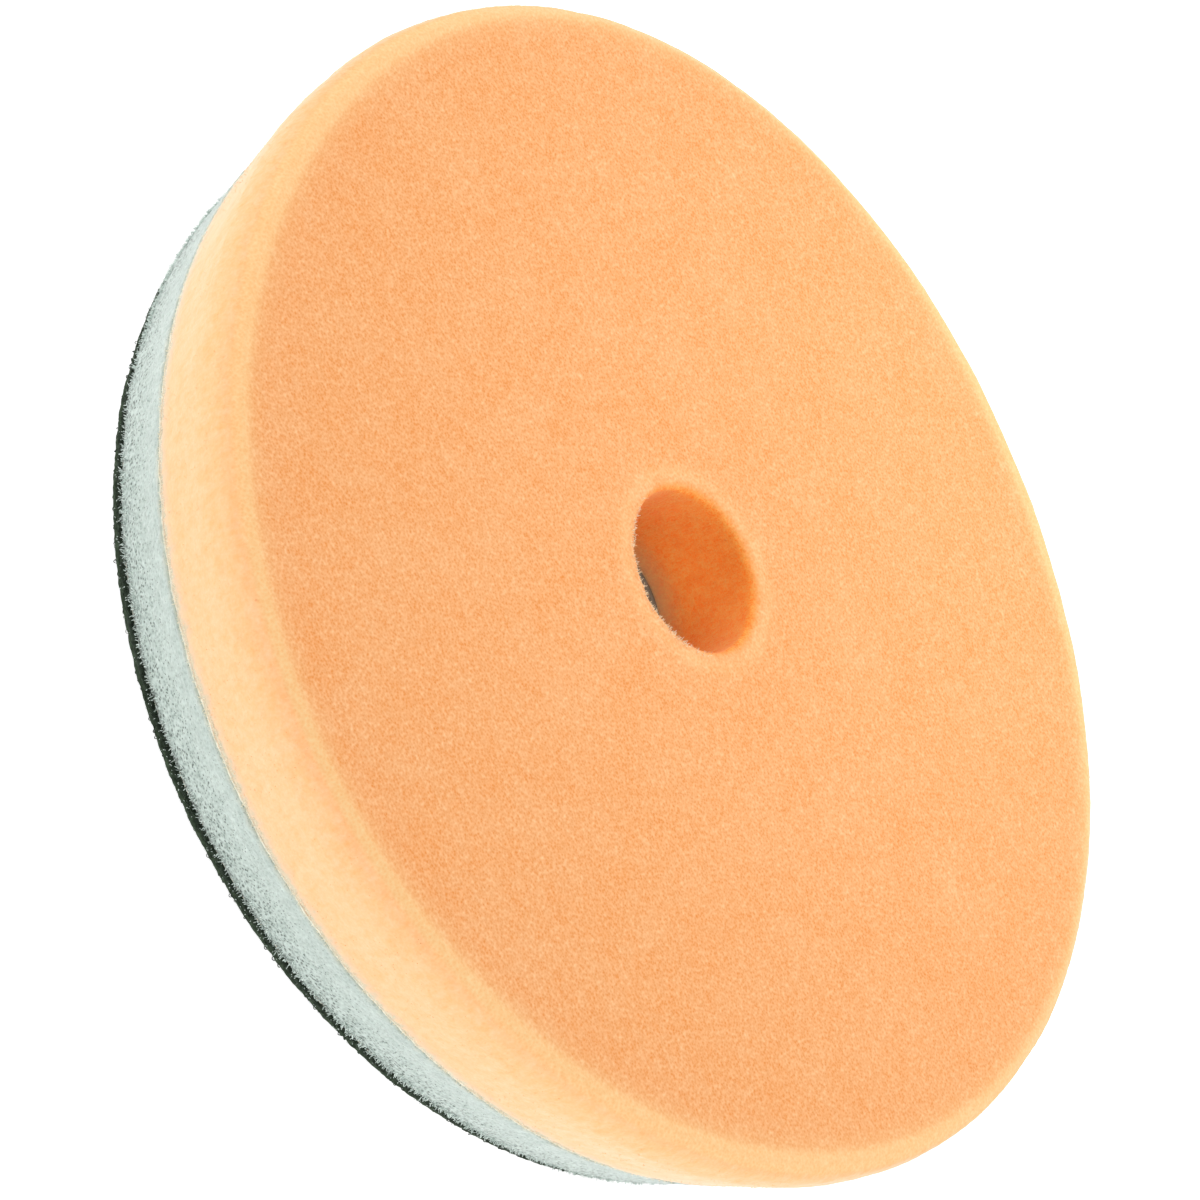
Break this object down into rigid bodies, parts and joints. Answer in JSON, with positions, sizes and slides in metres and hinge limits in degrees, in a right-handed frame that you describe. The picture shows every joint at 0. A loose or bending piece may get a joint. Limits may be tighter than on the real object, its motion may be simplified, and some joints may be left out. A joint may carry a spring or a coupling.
{
  "type": "polishing pad",
  "caption": "Round foam polishing pad with a tapered edge, a softer interface foam layer, a loop fabric back and a centre hole right through.",
  "frame": {"origin": "on the pad's axis, in the plane of the loop tips on the machine side", "axes": "+Z along the pad's axis, out of the working face; X and Y are any two directions across the round pad"},
  "size_m": [0.14, 0.14, 0.027],
  "materials": {
    "face_foam": "fine open-cell polyurethane foam, matt and soft, peach orange, a deeper orange inside the cut hole",
    "interface_foam": "coarser open-cell polyurethane foam, matt, pale grey-green, with torn cell walls on its cut edge",
    "bond_film": "thin translucent film of hot-melt adhesive, greyish yellow",
    "loop_ground": "warp-knitted polyamide ground, black-green, dull",
    "loop_pile": "brushed polyamide loops, black-green, a slight sheen along the yarns"
  },
  "bodies": {
    "root": {"face_foam": "face_foam", "face_bond": "bond_film", "interface_foam": "interface_foam", "loop_bond": "bond_film", "loop_ground": "loop_ground", "loop_pile": "loop_pile"}
  },
  "joints": []
}
